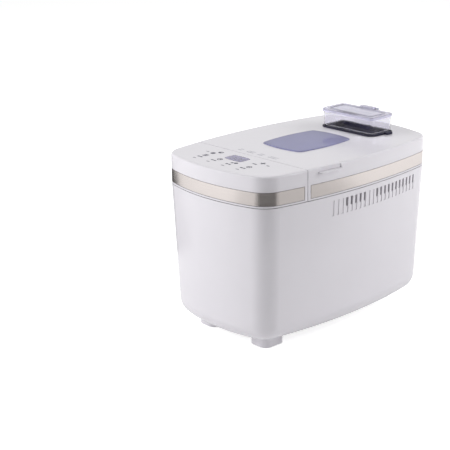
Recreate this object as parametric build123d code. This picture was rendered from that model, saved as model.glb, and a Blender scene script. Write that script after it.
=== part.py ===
from build123d import *
import math
import os

# A long-loaf bread machine. Millimetres and degrees, +Z up, the control end faces -Y,
# origin on the floor under the middle of the shell.

# Outer shell: plan outline at the seam, drafts of the body below it, heights
shell_width = 250.0
shell_depth = 391.0
side_bow = 23.0
end_bow = 27.0
corner_radius = 38.0
shell_wall = 2.5
side_draft = 2.24
front_draft = 1.27
rear_draft = 1.95
bottom_round = 30.0
top_round = 3.0
least_round = 1.0
foot_height = 17.2
body_height = 211.2
cap_height = 46.6
seam_gap = 0.9

# Clearances: pushed-together pieces, turning pins in bores, pins fixed in their holes,
# and how far cuts and joins run past their faces
fit_gap = 0.3
run_gap = 0.05
pin_gap = 0.02
overrun = 1.0

# Trim band and the split between the control housing and the lid
band_rise = 3.8
band_height = 19.0
band_thickness = 0.8
band_end = 6.0
band_line = 0.9
control_depth = 90.0
split_gap = 1.2

# Vent grooves on both long sides, some of them open at the top
vent_count = 21
vent_start = 48.8
vent_pitch = 9.6
vent_drop = 8.4
vent_height = 23.5
vent_width = 4.4
vent_depth = 0.8
slot_height = 13.5
slot_width = 4.0
blind_vents = (0, 1, 2, 8, 9)

# Base plate, feet and rubber pads
base_lip = 36.0
base_flange = 4.0
base_thickness = 2.5
foot_width = 38.0
foot_depth = 42.0
foot_corner = 12.0
foot_inset_x = 59.2
rear_foot_inset_x = 72.2
foot_inset_y = 60.3
pad_radius = 15.0
pad_thickness = 3.0
foot_lift = 0.8

# Deck, its sealing rim and the ledge that carries it
deck_drop = 5.4
deck_thickness = 2.5
ledge_width = 4.0
ledge_height = 4.0
rim_offset = 8.0
rim_height = 4.0
rim_thickness = 2.5

# Oven chamber, given by the room that it leaves in the shell
motor_bay = 110.5
rear_bay = 40.5
side_bay = 32.0
chamber_corner = 28.0
chamber_wall = 1.0
chamber_flange = 6.0

# Chassis under the chamber
leg_height = 27.5
leg_radius = 7.0
chassis_thickness = 2.5
chassis_width = 136.0
chassis_inset = 27.5
chassis_tail = 83.0
chassis_corner = 12.0
leg_inset = 16.0
motor_leg_offset = 30.0
shaft_leg_offsets = (-65.0, 64.0)

# Drive train
shaft_radius = 5.0
bearing_radius = 13.0
bearing_flange = 22.0
bearing_flange_height = 4.0
bearing_rise = 4.0
pulley_radius = 52.0
pulley_width = 12.0
pulley_rim = 5.0
pulley_web = 4.0
hub_radius = 11.0
hub_height = 16.0
hub_drop = 2.5
motor_pulley_radius = 10.0
motor_hub_radius = 8.0
belt_thickness = 2.5
belt_width = 8.0
motor_inset = 62.5
motor_radius = 36.0
motor_height = 72.0
motor_edge = 4.0
motor_shaft_radius = 4.0
motor_shaft_grip = 36.0
motor_boss_radius = 12.0
motor_boss_drop = 1.0
motor_screw_x = 18.0
coupler_radius = 18.0
coupler_base = 3.0
coupler_gap = 1.0
dog_height = 8.0
dog_width = 6.0

# Pan and what turns in it
seat_floor = 2.0
seat_wall = 6.0
seat_height = 10.0
ring_radius = 45.0
ring_wall = 3.0
ring_height = 22.0
pan_gap_x = 21.0
pan_gap_y = 17.0
pan_height = 143.0
pan_taper = 8.0
pan_corner = 28.0
pan_wall = 1.6
pan_lip = 4.0
pan_lip_thickness = 2.0
bush_radius = 9.0
bush_flange = 15.0
bush_flange_height = 3.0
bush_rise = 4.5
pan_shaft_radius = 4.0
bar_length = 30.0
bar_width = 6.0
bar_height = 6.0
bar_boss = 6.5
paddle_hub_radius = 10.0
paddle_hub_height = 21.0
paddle_reach = 48.0
paddle_thickness = 6.0
paddle_height = 27.0
paddle_round = 10.8
bail_wire = 2.5
bail_gap = 9.0
bail_drop = 9.0
bail_side_gap = 2.5
bail_end_bend = 3.75
bail_bend = 7.5
ear_width = 22.0
ear_height = 16.0
ear_thickness = 5.0

# Heating element and what is fixed to the chamber
heater_radius = 3.3
heater_rise = 16.0
heater_margin = 10.0
heater_bend = 24.0
heater_tail_x = 16.0
heater_tail_bend = 12.0
heater_tail = 12.0
clip_width = 12.0
clip_thickness = 3.0
clip_offset = 60.0
shield_gap = 4.0
shield_thickness = 1.0
shield_width = 160.0
shield_height = 140.0
sensor_radius = 2.5
sensor_x = 40.0
sensor_rise = 71.0
sensor_reach = 9.0
sensor_flange = 8.0
sensor_plate = 3.0
fuse_size = (5.0, 22.0, 9.0)
fuse_rise = 60.0

# Boards, display and cord gland
power_board_gap = 26.0
power_board_size = (1.6, 56.0, 92.0)
relay_size = (15.0, 20.0, 18.0)
heat_sink_size = (12.0, 20.0, 28.0)
capacitor_radius = 8.0
capacitor_length = 18.0
power_part_offset = 14.0
power_part_rise = 18.0
capacitor_rise = 64.0
board_thickness = 1.6
control_board_size = (124.0, 54.0)
control_board_inset = 32.5
control_board_drop = 13.9
board_margin = 1.0
display_width = 36.0
display_depth = 23.0
display_bow = 1.5
display_corner = 2.0
display_inset = 26.5
cell_margin = 3.0
display_proud = 0.4
display_lens = 4.0
control_leg_radius = 4.5
control_leg_insets = ((43.0, 18.5), (53.0, 57.5))
gland_x = -40.0
gland_rise = 46.0
gland_radius = 9.0
gland_flange = 12.0
gland_bore = 4.0
gland_depth = 12.0
gland_seat = 0.6
gland_lip = 3.0

# Lid: hinge, grip lips, window, liner
hinge_inset = 11.5
hinge_rise = 11.0
hinge_x = 30.0
hinge_pin_radius = 3.0
post_width = 12.0
knuckle_radius = 6.0
lid_ear_thickness = 6.0
lid_ear_margin = 1.0
hinge_notch_rise = 19.0
trough_half = 84.0
trough_floor = 1.0
trough_reach = 16.0
grip_start = 41.5
grip_length = 44.0
grip_drop = 6.5
grip_thickness = 2.0
grip_proud = 5.0
grip_scoop = 1.4
grip_round = 4.0
window_width = 92.0
window_length = 122.0
window_bow = 7.0
window_corner = 7.0
window_start = 58.0
window_lip = 4.0
window_thickness = 3.0
window_proud = 1.5
window_edge = 1.0
liner_rise = 2.1
liner_thickness = 1.2
liner_dome = 27.0
liner_margin = 4.0
liner_rear = 18.0
inner_glass_thickness = 3.0
boss_radius = 4.0
boss_inset = 15.0
boss_starts = (55.5, 165.5)
gasket_gap = 0.3

# Fruit and nut dispenser at the rear of the lid
tray_width = 113.5
tray_depth = 57.5
tray_inset = 66.5
tray_corner = 14.0
tray_flange = 1.8
tab_offset = 8.0
tab_width = 12.0
tab_reach = 6.0
tab_height = 3.4
well_margin = 5.5
well_wall = 2.0
well_corner = 6.0
well_drop = 19.5
outlet_depth = 22.0
box_height = 26.5
box_margin = 4.0
box_corner = 6.0
box_wall = 1.6
box_lip = 5.0
cover_margin = 2.0
cover_corner = 7.5
cover_thickness = 1.6
cover_skirt = 4.6
cover_gap = 0.2
knuckle_half = 14.0
knuckle_size = 5.0
cover_ear = 3.0
cover_ear_drop = 10.0
cover_pin_radius = 1.25
flap_thickness = 2.0
flap_pin_radius = 1.25
flap_knuckle_radius = 2.6
flap_ear = 2.5
crank_length = 12.5
crank_tilt = 37.5
crank_thickness = 3.0
crank_room = 1.0
crank_pin_radius = 1.2
crank_slack = 0.45
clevis_wall = 1.2
clevis_width = 8.0
solenoid_size = (14.0, 30.0, 11.0)
plunger_radius = 2.0
plunger_grip = 22.0

# Screws
screw_radius = 2.0
screw_head_radius = 3.6
screw_head = 2.4
screw_length = 14.0
screw_tip_gap = 2.0

# Levels and places worked out from the sizes above
half_width = shell_width / 2
half_depth = shell_depth / 2
split_y = control_depth - half_depth
vent_first_y = split_y + vent_start
grip_y = split_y + grip_start
window_y = split_y + window_start + window_length / 2
display_y = split_y - display_inset
control_board_y = split_y - control_board_inset
motor_y = motor_inset - half_depth
tray_y = half_depth - tray_inset
chamber_width = shell_width - 2 * side_bay
chamber_length = shell_depth - motor_bay - rear_bay
chamber_front = motor_bay - half_depth
chamber_y = chamber_front + chamber_length / 2
pan_width = chamber_width - 2 * pan_gap_x
pan_length = chamber_length - 2 * pan_gap_y
bail_reach = pan_width / 2 + bail_gap
power_board_x = -motor_radius - power_board_gap
seam_z = foot_height + body_height
body_top = seam_z - seam_gap / 2
cap_bottom = seam_z + seam_gap / 2
cap_top = seam_z + cap_height
roof_z = cap_top - shell_wall
lens_low = cap_top + display_proud - display_lens
band_low = seam_z + band_rise
lid_front = split_y + split_gap / 2
control_rear = split_y - split_gap / 2
deck_top = seam_z - deck_drop
deck_low = deck_top - deck_thickness
rim_top = deck_top + rim_height
base_top = foot_height + 2 * base_thickness
base_screw_seat = foot_height + screw_head
chassis_low = base_top + leg_height
chassis_top = chassis_low + chassis_thickness
chamber_floor = chassis_top + chamber_wall
seat_top = chamber_floor + seat_floor
pan_low = seat_top + ring_height
pan_top = pan_low + pan_height
bail_z = pan_top - bail_drop
bearing_top = seat_top + bearing_rise
bearing_low = chassis_low - bearing_flange_height
coupler_low = bearing_top + coupler_gap
dog_low = coupler_low + coupler_base
bar_low = dog_low + coupler_gap
hub_top = bearing_low - hub_drop
pulley_mid = hub_top - hub_height / 2
heater_z = chamber_floor + heater_rise
shield_y = chamber_front - shield_gap
hinge_y = half_depth - hinge_inset
hinge_z = seam_z + hinge_rise
liner_low = cap_bottom + liner_rise
liner_top = liner_low + liner_dome
liner_front = lid_front + shell_wall + fit_gap
liner_back = hinge_y - liner_rear
tray_top = cap_top + tray_flange
well_half = tray_width / 2 - well_margin
well_front = tray_y - tray_depth / 2 + well_margin
well_back = tray_y + tray_depth / 2 - well_margin
well_low = cap_top - well_drop
outlet_back = well_front + well_wall + outlet_depth
ramp_top = tray_top - box_lip - 2 * fit_gap
flap_y = outlet_back + flap_knuckle_radius
flap_z = well_low - fit_gap - flap_knuckle_radius
box_top = tray_top + box_height
cover_y = tray_y + tray_depth / 2 + knuckle_size / 2
cover_z = box_top + cover_gap + cover_thickness


def upright(radius, low, high, x=0.0, y=0.0):
    """A cylinder standing between two heights."""
    return Pos(x, y, low) * Cylinder(radius, high - low, align=(Align.CENTER, Align.CENTER, Align.MIN))


def rod_x(radius, x_low, x_high, y, z):
    """A cylinder lying along X."""
    return Pos((x_low + x_high) / 2, y, z) * Rot(0, 90, 0) * Cylinder(radius, x_high - x_low)


def rod_y(radius, y_low, y_high, x, z):
    """A cylinder lying along Y."""
    return Pos(x, (y_low + y_high) / 2, z) * Rot(90, 0, 0) * Cylinder(radius, y_high - y_low)


def block(x, y, z):
    """A box given by its limits along X, Y and Z."""
    middle = Pos((x[0] + x[1]) / 2, (y[0] + y[1]) / 2, (z[0] + z[1]) / 2)
    return middle * Box(x[1] - x[0], y[1] - y[0], z[1] - z[0])


def rounded(width, depth, corner, low, high, y=0.0, x=0.0):
    """A rounded rectangle standing between two heights."""
    return extrude(Pos(x, y, low) * RectangleRounded(width, depth, corner), high - low)


def mirrored(piece):
    """A piece and its mirror image across the middle plane."""
    return piece + mirror(piece, Plane.YZ)


def union(pieces):
    """All the pieces in one."""
    whole = None
    for piece in pieces:
        whole = piece if whole is None else whole + piece
    return whole


def bowed(half_x, half_y, bow_x, bow_y, corner, z, inset=0.0, y_mid=0.0):
    """Outline of four shallow arcs and four corner arcs, as a face at height z."""
    side_r = (half_y**2 + bow_x**2) / (2 * bow_x)
    end_r = (half_x**2 + bow_y**2) / (2 * bow_y)
    side_c = Vector(half_x - side_r, 0)
    end_c = Vector(0, half_y - end_r)
    # The corner's centre lies at known distances from both arc centres
    link = end_c - side_c
    along = ((side_r - corner) ** 2 - (end_r - corner) ** 2 + link.length**2) / (2 * link.length)
    across = math.sqrt((side_r - corner) ** 2 - along**2)
    centre = side_c + link.normalized() * along + Vector(-link.Y, link.X).normalized() * across
    to_side = (centre - side_c).normalized()
    to_end = (centre - end_c).normalized()
    to_middle = (to_side + to_end).normalized()
    side_pt, end_pt, mid_pt = [centre + u * (corner - inset) for u in (to_side, to_end, to_middle)]

    def at(point, i, j):
        return (i * point.X, y_mid + j * point.Y, z)

    edges = []
    for i, j in ((1, 1), (-1, 1), (-1, -1), (1, -1)):
        if i == j:
            middle = (0, y_mid + j * (half_y - inset), z)
            edges.append(ThreePointArc(at(side_pt, i, j), at(mid_pt, i, j), at(end_pt, i, j)))
            edges.append(ThreePointArc(at(end_pt, i, j), middle, at(end_pt, -i, j)))
        else:
            middle = (i * (half_x - inset), y_mid, z)
            edges.append(ThreePointArc(at(end_pt, i, j), at(mid_pt, i, j), at(side_pt, i, j)))
            edges.append(ThreePointArc(at(side_pt, i, j), middle, at(side_pt, i, -j)))
    return Face(Wire(edges))


def cap_face(z, inset=0.0):
    """Outline of the shell above the seam."""
    return bowed(half_width, half_depth, side_bow, end_bow, corner_radius, z, inset)


def body_face(z, inset=0.0):
    """Outline of the tapering body at a height below the seam."""
    fall = seam_z - z
    side = fall * math.tan(math.radians(side_draft))
    front = fall * math.tan(math.radians(front_draft))
    rear = fall * math.tan(math.radians(rear_draft))
    half_y = half_depth - (front + rear) / 2
    return bowed(half_width - side, half_y, side_bow, end_bow, corner_radius, z, inset, (front - rear) / 2)


def body_solid(low, inset):
    """The tapering body with its rounded bottom edge, filled."""
    solid = loft([body_face(low, inset), body_face(body_top, inset)], ruled=True)
    return fillet(solid.faces().sort_by(Axis.Z)[0].edges(), bottom_round - inset)


def cap_solid(high, inset):
    """The shell above the seam with its rounded top edge, filled."""
    solid = extrude(cap_face(cap_bottom, inset), high - cap_bottom)
    return fillet(solid.faces().sort_by(Axis.Z)[-1].edges(), max(top_round - inset, least_round))


def beyond_y(y, side):
    """A block that holds everything on one side of a plane across the machine."""
    far = side * 2 * shell_depth
    return block((-shell_width, shell_width), sorted((y, far)), (-cap_top, 2 * cap_top))


def side_frame(y, z):
    """Place on the right-hand wall, turned so that X points straight out of it."""
    side_r = (half_depth**2 + side_bow**2) / (2 * side_bow)
    turn = math.asin(y / side_r)
    fall = max(seam_z - z, 0.0)
    x = half_width - side_r * (1 - math.cos(turn)) - fall * math.tan(math.radians(side_draft))
    lean = side_draft if fall > 0 else 0.0
    return Pos(x, y, z) * Rot(0, lean, math.degrees(turn))


def vent_cuts():
    """Shallow grooves on one side, and the slots that open most of them."""
    groove_z = seam_z - vent_drop - vent_height / 2
    slot_z = seam_z - vent_drop - slot_height / 2
    cuts = []
    for i in range(vent_count):
        y = vent_first_y + i * vent_pitch
        cuts.append(side_frame(y, groove_z) * Box(2 * vent_depth, vent_width, vent_height))
        if i not in blind_vents:
            cuts.append(side_frame(y, slot_z) * Box(4 * shell_wall, slot_width, slot_height))
    return cuts


def gland_frame():
    """Place of the cord gland on the rear wall, turned so that Y points straight out."""
    end_r = (half_width**2 + end_bow**2) / (2 * end_bow)
    turn = math.asin(gland_x / end_r)
    z = foot_height + gland_rise
    fall = (seam_z - z) * math.tan(math.radians(rear_draft))
    y = half_depth - fall - end_r * (1 - math.cos(turn))
    return Pos(gland_x, y, z) * Rot(0, 0, -math.degrees(turn))


def body_housing():
    """Tapering outer shell, open at the top, with vents, a deck ledge and a hinge notch."""
    outer = body_solid(foot_height, 0.0)
    shell = outer - body_solid(foot_height + shell_wall, shell_wall)
    ledge = extrude(body_face(deck_low, shell_wall / 2), -ledge_height)
    ledge -= extrude(body_face(deck_low, shell_wall + ledge_width), -ledge_height)
    vent_last_y = vent_first_y + (vent_count - 1) * vent_pitch
    shell += ledge - block(
        (-shell_width, shell_width), (vent_first_y - vent_pitch, vent_last_y + vent_pitch), (0, cap_top)
    )
    shell -= extrude(body_face(foot_height, base_lip), base_thickness)
    notch_low = deck_top + trough_floor
    shell -= block((-trough_half, trough_half), (hinge_y - trough_reach, shell_depth), (notch_low, cap_top))
    shell -= gland_frame() * Rot(90, 0, 0) * Cylinder(gland_radius + fit_gap, 8 * shell_wall)
    cuts = vent_cuts()
    return shell - cuts - [mirror(cut, Plane.YZ) for cut in cuts]


def base_plate():
    """Bottom cover that drops into the housing's lip, with holes for the leg screws."""
    plate = extrude(body_face(foot_height, base_lip + fit_gap), base_thickness)
    flange = body_face(foot_height, base_lip - base_flange)
    plate += extrude(Pos(0, 0, base_thickness) * flange, base_thickness)
    for x, y in leg_places():
        plate -= screw_hole(x, y, base_screw_seat)
        plate -= upright(screw_head_radius + run_gap, foot_height - overrun, base_screw_seat, x, y)
    return plate


def foot_places():
    """Corner places of the feet."""
    front = body_height * math.tan(math.radians(front_draft))
    rear = body_height * math.tan(math.radians(rear_draft))
    side = half_width - body_height * math.tan(math.radians(side_draft))
    front_row = (side - foot_inset_x, front - half_depth + foot_inset_y)
    rear_row = (side - rear_foot_inset_x, half_depth - rear - foot_inset_y)
    return [(i * x, y) for i in (1, -1) for x, y in (front_row, rear_row)]


def feet():
    """Squarish feet that run up to the rounded underside."""
    body = body_solid(foot_height, 0.0)
    group = []
    for x, y in foot_places():
        foot = rounded(foot_width, foot_depth, foot_corner, foot_lift, foot_height + bottom_round, y, x)
        group.append(foot - body - upright(pad_radius, 0, pad_thickness, x, y))
    return union(group)


def foot_pads():
    """Rubber discs pressed into the feet."""
    return union([upright(pad_radius, 0, pad_thickness, x, y) for x, y in foot_places()])


def leg_places():
    """Places of the chassis legs."""
    x = chassis_width / 2 - leg_inset
    rows = [motor_y + motor_leg_offset] + [chamber_y + offset for offset in shaft_leg_offsets]
    return [(i * x, y) for i in (1, -1) for y in rows]


def screw(x, y, seat):
    """A pan-head screw pointing up, with its head under a seat."""
    head = upright(screw_head_radius, seat - screw_head, seat, x, y)
    return head + upright(screw_radius, seat, seat + screw_length, x, y)


def screw_hole(x, y, seat):
    """Hole for such a screw, a little deeper than its tip."""
    return upright(screw_radius + run_gap, seat - overrun, seat + screw_length + screw_tip_gap, x, y)


def base_screws():
    """Screws through the base plate into the chassis legs."""
    return union([screw(x, y, base_screw_seat) for x, y in leg_places()])


def drive_chassis():
    """Pressed plate on legs that carries the chamber, the motor and the drive bearing."""
    front, rear = chassis_inset - half_depth, chamber_y + chassis_tail
    middle = (front + rear) / 2
    plate = rounded(chassis_width, rear - front, chassis_corner, chassis_low, chassis_top, middle)
    for x, y in leg_places():
        plate += upright(leg_radius, base_top, chassis_low, x, y)
    for x, y in leg_places():
        plate -= screw_hole(x, y, base_screw_seat)
    for radius, y in ((bearing_radius, chamber_y), (motor_boss_radius, motor_y)):
        plate -= upright(radius + fit_gap, chassis_low - overrun, chassis_top + overrun, 0, y)
    for x in (-motor_screw_x, motor_screw_x):
        plate -= screw_hole(x, motor_y, chassis_low)
    return plate


def bearing_housing():
    """Flanged bush under the chassis in which the drive shaft turns."""
    bush = upright(bearing_flange, bearing_low, chassis_low, 0, chamber_y)
    bush += upright(bearing_radius, chassis_low, bearing_top, 0, chamber_y)
    bore = upright(shaft_radius + run_gap, bearing_low - overrun, bearing_top + overrun, 0, chamber_y)
    return bush - bore


def drive_shaft():
    """Vertical shaft from the large pulley to the coupler under the pan."""
    return upright(shaft_radius, hub_top - hub_height, dog_low, 0, chamber_y)


def belt_wheel(radius, hub, bore, y):
    """A pulley with a rim, a web and a hub."""
    low, high = pulley_mid - pulley_width / 2, pulley_mid + pulley_width / 2
    wheel = upright(radius, low, high, 0, y)
    if radius - pulley_rim > hub:
        pocket = upright(radius - pulley_rim, low, high, 0, y) - upright(hub, low, high, 0, y)
        web = upright(radius, pulley_mid - pulley_web / 2, pulley_mid + pulley_web / 2, 0, y)
        wheel -= pocket - web
    wheel += upright(hub, hub_top - hub_height, hub_top, 0, y)
    return wheel - upright(bore + pin_gap, hub_top - hub_height - overrun, hub_top + overrun, 0, y)


def large_pulley():
    """Driven pulley on the drive shaft."""
    return belt_wheel(pulley_radius, hub_radius, shaft_radius, chamber_y)


def motor_pulley():
    """Small pulley on the motor shaft."""
    return belt_wheel(motor_pulley_radius, motor_hub_radius, motor_shaft_radius, motor_y)


def belt_face(offset):
    """Area inside a taut loop round both pulleys, moved out by an offset."""
    big, small = pulley_radius + offset, motor_pulley_radius + offset
    lean = math.asin((big - small) / (chamber_y - motor_y))
    out = Vector(math.cos(lean), -math.sin(lean))
    big_c, small_c = Vector(0, chamber_y), Vector(0, motor_y)
    right = [big_c + out * big, small_c + out * small]
    left = [Vector(-p.X, p.Y) for p in right]
    edges = [
        Line(right[1], right[0]),
        ThreePointArc(right[0], (0, chamber_y + big), left[0]),
        Line(left[0], left[1]),
        ThreePointArc(left[1], (0, motor_y - small), right[1]),
    ]
    return Face(Wire(edges))


def drive_belt():
    """Flat belt loop, held just clear of both pulleys."""
    ring = belt_face(fit_gap + belt_thickness) - belt_face(fit_gap)
    return extrude(Pos(0, 0, pulley_mid - belt_width / 2) * ring, belt_width)


def drive_coupler():
    """Disc with two upright dogs that turn the bar under the pan."""
    disc = upright(coupler_radius, coupler_low, dog_low, 0, chamber_y)
    disc -= upright(shaft_radius + pin_gap, coupler_low - overrun, dog_low + overrun, 0, chamber_y)
    near = bar_width / 2 + fit_gap
    inner = bar_boss + 2 * fit_gap
    for i in (1, -1):
        x = sorted((i * inner, i * (inner + dog_width)))
        y = sorted((chamber_y + i * near, chamber_y + i * (near + dog_width)))
        disc += block(x, y, (dog_low, dog_low + dog_height))
    return disc


def motor():
    """Motor can with a foot flange and a boss through the chassis."""
    can = upright(motor_radius, chassis_top, chassis_top + motor_height, 0, motor_y)
    can = fillet(can.edges().group_by(Axis.Z)[-1], motor_edge)
    boss_low = chassis_low - motor_boss_drop
    can += upright(motor_boss_radius, boss_low, chassis_top, 0, motor_y)
    bore_top = chassis_top + motor_shaft_grip + overrun
    can -= upright(motor_shaft_radius + run_gap, boss_low - overrun, bore_top, 0, motor_y)
    for x in (-motor_screw_x, motor_screw_x):
        can -= screw_hole(x, motor_y, chassis_low)
    return can


def motor_screws():
    """Screws that hold the motor on the chassis."""
    return mirrored(screw(motor_screw_x, motor_y, chassis_low))


def motor_shaft():
    """Rotor shaft that hangs out of the motor."""
    return upright(motor_shaft_radius, hub_top - hub_height, chassis_top + motor_shaft_grip, 0, motor_y)


def chamber_box(offset, low, high):
    """Rounded box round the chamber's outer wall, moved out by an offset."""
    width, length = chamber_width + 2 * offset, chamber_length + 2 * offset
    return rounded(width, length, chamber_corner + offset, low, high, chamber_y)


def oven_chamber():
    """Folded sheet box with a top flange, and holes for the drive, heater and sensor."""
    box = chamber_box(0, chassis_top, deck_top)
    box += chamber_box(chamber_flange, deck_top, deck_top + chamber_wall)
    box -= chamber_box(-chamber_wall, chamber_floor, deck_top + 2 * chamber_wall)
    box -= upright(bearing_radius + fit_gap, chassis_top - overrun, chamber_floor + overrun, 0, chamber_y)
    wall = (chamber_front - overrun, chamber_front + chamber_wall + overrun)
    for x in (-heater_tail_x, heater_tail_x):
        box -= rod_y(heater_radius + fit_gap, *wall, x, heater_z)
    return box - rod_y(sensor_radius + fit_gap, *wall, sensor_x, chamber_floor + sensor_rise)


def heating_element():
    """Tubular heater that runs round the foot of the chamber, with both ends at the front."""
    x = chamber_width / 2 - chamber_wall - heater_margin
    y = chamber_length / 2 - chamber_wall - heater_margin
    near, far = chamber_y - y, chamber_y + y
    out = chamber_front - heater_tail
    tail = heater_tail_x
    half = [(tail, out), (tail, near), (x, near), (x, far)]
    points = [(-px, py, heater_z) for px, py in half] + [(px, py, heater_z) for px, py in reversed(half)]
    bends = [heater_tail_bend] + 4 * [heater_bend] + [heater_tail_bend]
    path = FilletPolyline(*points, radius=bends)
    start = Plane(origin=points[0], z_dir=(0, 1, 0))
    return sweep(start * Circle(heater_radius), path=path)


def heater_clips():
    """Brackets on the chamber walls under the heater."""
    high = heater_z - heater_radius - run_gap
    low = high - clip_thickness
    wall = chamber_width / 2 - chamber_wall
    reach = heater_margin + heater_radius
    clips = []
    for y in (chamber_y - clip_offset, chamber_y + clip_offset):
        clips.append(block((wall - reach, wall), (y - clip_width / 2, y + clip_width / 2), (low, high)))
    return union([mirrored(clip) for clip in clips])


def temperature_sensor():
    """Probe through the chamber's front wall, with its fixing flange outside."""
    z = chamber_floor + sensor_rise
    outside = chamber_front - sensor_plate
    probe = rod_y(sensor_radius, outside, chamber_front + sensor_reach, sensor_x, z)
    return probe + rod_y(sensor_flange, outside, chamber_front, sensor_x, z)


def thermal_fuse():
    """Cut-out clipped to the outside of the chamber."""
    x, y, z = fuse_size
    wall = chamber_width / 2
    low = chamber_floor + fuse_rise
    return block((wall, wall + x), (chamber_y - y / 2, chamber_y + y / 2), (low, low + z))


def heat_shield():
    """Sheet between the oven chamber and the motor bay."""
    y = (shield_y - shield_thickness, shield_y)
    sheet = block((-shield_width / 2, shield_width / 2), y, (chassis_top, chassis_top + shield_height))
    for x in (-heater_tail_x, heater_tail_x):
        sheet -= rod_y(heater_radius + fit_gap, y[0] - overrun, y[1] + overrun, x, heater_z)
    return sheet


def power_board():
    """Mains board beside the motor, with a relay, a heat sink and a capacitor."""
    thick, depth, tall = power_board_size
    face, low = power_board_x, chassis_top
    board = block((face - thick, face), (motor_y - depth / 2, motor_y + depth / 2), (low, low + tall))
    foot = low + power_part_rise
    for size, side in ((relay_size, -1), (heat_sink_size, 1)):
        x_out, wide, high = size
        y = motor_y + side * power_part_offset
        board += block((face, face + x_out), (y - wide / 2, y + wide / 2), (foot, foot + high))
    return board + rod_x(capacitor_radius, face, face + capacitor_length, motor_y, low + capacitor_rise)


def cord_gland():
    """Grommet in the rear wall for the mains cord."""
    gland = rod_y(gland_radius, -gland_depth, gland_seat, 0, 0)
    gland += rod_y(gland_flange, gland_seat, gland_seat + gland_lip, 0, 0)
    return gland_frame() * (gland - rod_y(gland_bore, -2 * gland_depth, gland_depth, 0, 0))


def top_deck():
    """Plate on the housing's ledge with the chamber opening and a rim that seals to the lid."""
    plate = extrude(body_face(deck_low, shell_wall + fit_gap), deck_thickness)
    plate -= chamber_box(fit_gap, deck_low - overrun, deck_top + overrun)
    rim = chamber_box(rim_offset + rim_thickness, deck_top, rim_top)
    plate += rim - chamber_box(rim_offset, deck_top, rim_top)
    for x, y in control_leg_places():
        plate -= screw_hole(x, y, deck_low)
    return plate


def hinge_posts():
    """Two posts on the deck that carry the lid's hinge pins."""
    half = post_width / 2
    x = (hinge_x - half, hinge_x + half)
    y = (hinge_y - knuckle_radius, hinge_y + knuckle_radius)
    post = block(x, y, (deck_top, hinge_z)) + rod_x(knuckle_radius, *x, hinge_y, hinge_z)
    post -= rod_x(hinge_pin_radius + run_gap, x[0] - overrun, x[1] + overrun, hinge_y, hinge_z)
    return mirrored(post)


def band_ring(line=0.0):
    """Ring of sheet flush with the shell above the seam, or its groove with a line left open round it."""
    low = band_low - line
    ring = cap_face(low) - cap_face(low, band_thickness)
    return extrude(ring, band_height + 2 * line)


def control_leg_places():
    """Places of the legs under the control housing."""
    places = [(half_width - x, split_y - y) for x, y in control_leg_insets]
    return [(i * x, y) for i in (1, -1) for x, y in places]


def display_face(z, inset):
    """Outline of the display lens."""
    bow = display_bow
    return bowed(display_width / 2, display_depth / 2, bow, bow, display_corner, z, inset, display_y)


def control_housing():
    """Fixed front part of the top: a hollow cap with the control panel, standing on legs."""
    cap = cap_solid(cap_top, 0.0) & beyond_y(control_rear, -1)
    cap -= cap_solid(roof_z, shell_wall) & beyond_y(control_rear - shell_wall, -1)
    cap -= band_ring(band_line) & beyond_y(split_y - band_end + band_line, -1)
    rear_half = half_width - side_bow
    rear = (control_rear - shell_wall, control_rear)
    cap += block((-rear_half, rear_half), rear, (deck_top, cap_bottom + overrun))
    for x, y in control_leg_places():
        cap += upright(control_leg_radius, deck_top, roof_z + overrun, x, y)
    for x, y in control_leg_places():
        cap -= screw_hole(x, y, deck_low)
    for x, y in board_posts():
        cap += upright(boss_radius, cap_top - control_board_drop, roof_z + overrun, x, y)
    return cap - extrude(display_face(lens_low - overrun, -fit_gap), display_lens + 2 * overrun)


def board_posts():
    """Places of the posts that hold the control board."""
    x, y = control_board_size
    inset = boss_radius + board_margin
    rows = (control_board_y - y / 2 + inset, control_board_y + y / 2 - inset)
    return [(i * (x / 2 - inset), row) for i in (1, -1) for row in rows]


def front_band():
    """Steel trim round the control housing."""
    return band_ring() & beyond_y(split_y - band_end, -1)


def control_screws():
    """Screws through the deck into the control housing's legs."""
    return union([screw(x, y, deck_low) for x, y in control_leg_places()])


def display_lens_piece():
    """Clear lens set flush in the control panel."""
    return extrude(display_face(lens_low, 0.0), display_lens)


def control_board():
    """Board with the touch keys under the control panel."""
    x, y = control_board_size
    high = cap_top - control_board_drop
    rows = (control_board_y - y / 2, control_board_y + y / 2)
    return block((-x / 2, x / 2), rows, (high - board_thickness, high))


def display_module():
    """Display cell between the control board and the lens."""
    width, depth = display_width + 2 * cell_margin, display_depth + 2 * cell_margin
    return rounded(width, depth, display_corner, cap_top - control_board_drop, lens_low, display_y)


def pan_seat():
    """Dish on the chamber floor that centres the pan's base ring."""
    outer = ring_radius + fit_gap + seat_wall
    seat = upright(outer, chamber_floor, chamber_floor + seat_height, 0, chamber_y)
    seat -= upright(ring_radius + fit_gap, seat_top, chamber_floor + seat_height + overrun, 0, chamber_y)
    return seat - upright(bearing_radius + fit_gap, chamber_floor - overrun, seat_top + overrun, 0, chamber_y)


def pan_face(z, inset):
    """Rounded outline of the pan at a height."""
    grow = pan_taper * (z - pan_low) / pan_height - pan_taper - inset
    face = RectangleRounded(pan_width + 2 * grow, pan_length + 2 * grow, pan_corner + grow)
    return Pos(0, chamber_y, z) * face


def pan_solid(low, high, inset):
    """The pan's tapering form, filled."""
    return loft([pan_face(low, inset), pan_face(high, inset)], ruled=True)


def bread_pan():
    """Tapered pan with a turned-out lip and a hole for the bush."""
    pan = pan_solid(pan_low, pan_top, 0.0)
    pan += extrude(pan_face(pan_top, -pan_lip), -pan_lip_thickness)
    pan -= pan_solid(pan_low + pan_wall, pan_top, pan_wall)
    return pan - upright(bush_radius + pin_gap, pan_low - overrun, pan_low + pan_wall + overrun, 0, chamber_y)


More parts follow.
